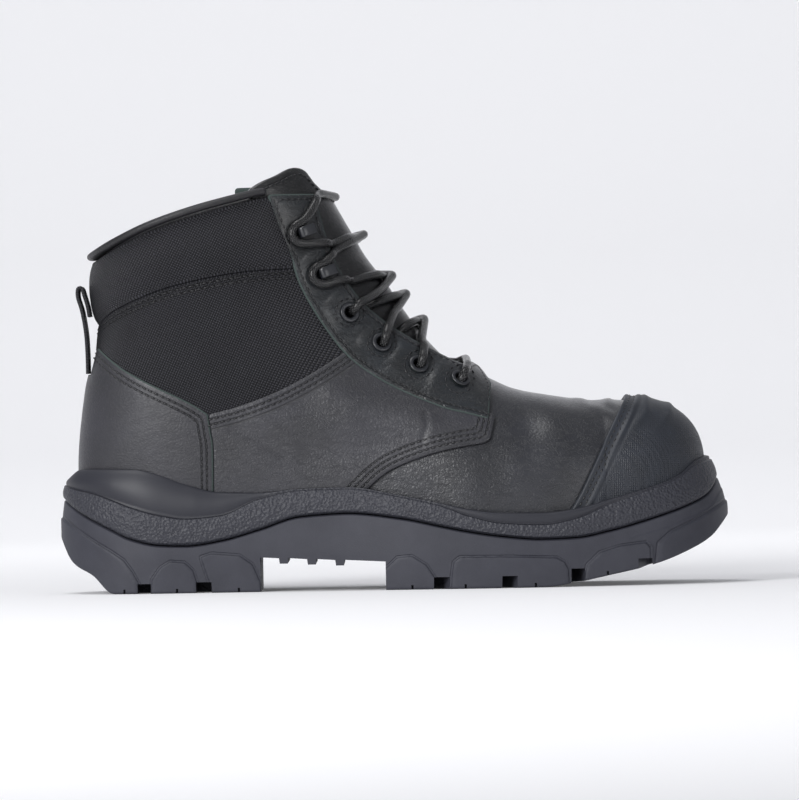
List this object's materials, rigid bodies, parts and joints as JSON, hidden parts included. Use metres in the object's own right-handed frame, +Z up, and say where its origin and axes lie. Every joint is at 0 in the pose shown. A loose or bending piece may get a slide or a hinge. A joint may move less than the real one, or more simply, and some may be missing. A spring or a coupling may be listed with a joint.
{
  "type": "composite toe work boot",
  "caption": "Ankle-high lace-up work boot, right foot: leather and nylon upper, moulded rubber toe cap, padded collar, pull loop and a deep-lugged two-layer sole.",
  "frame": {"origin": "on the floor, midway along and midway across the sole", "axes": "+X from the heel to the toe, +Y to the inner side of the foot, +Z up"},
  "size_m": [0.316, 0.1188, 0.2013],
  "materials": {
    "upper_leather": "smooth full grain, soft sheen, fine creases",
    "binding_leather": "thin soft leather, rolled edge",
    "nylon_fabric": "coarse black basket weave",
    "lining_fabric": "black brushed mesh",
    "outsole_rubber": "matt moulded rubber",
    "midsole_foam": "matt, pebbled band with a smooth upper part",
    "toe_bumper": "satin moulded rubber, fine mesh texture low down",
    "black_metal": "black paint, soft gloss",
    "lace_cord": "round braided cord, slightly glossy"
  },
  "bodies": {
    "root": {"collar_binding": "binding_leather", "collar_pad": "nylon_fabric", "collar_tab": "nylon_fabric", "counter": "upper_leather", "eyelet_inner_1": "black_metal", "eyelet_inner_2": "black_metal", "eyelet_inner_3": "black_metal", "eyelet_inner_4": "black_metal", "eyelet_outer_1": "black_metal", "eyelet_outer_2": "black_metal", "eyelet_outer_3": "black_metal", "eyelet_outer_4": "black_metal", "eyestay_inner": "upper_leather", "eyestay_outer": "upper_leather", "fabric_inner": "nylon_fabric", "fabric_outer": "nylon_fabric", "hook_inner_1": "black_metal", "hook_inner_2": "black_metal", "hook_outer_1": "black_metal", "hook_outer_2": "black_metal", "insole": "lining_fabric", "lace": "lace_cord", "midsole": "midsole_foam", "outsole": "outsole_rubber", "pull_loop": "nylon_fabric", "quarter_inner": "upper_leather", "quarter_outer": "upper_leather", "toe_cap": "toe_bumper", "tongue": "upper_leather", "upper": "upper_leather"}
  },
  "joints": []
}
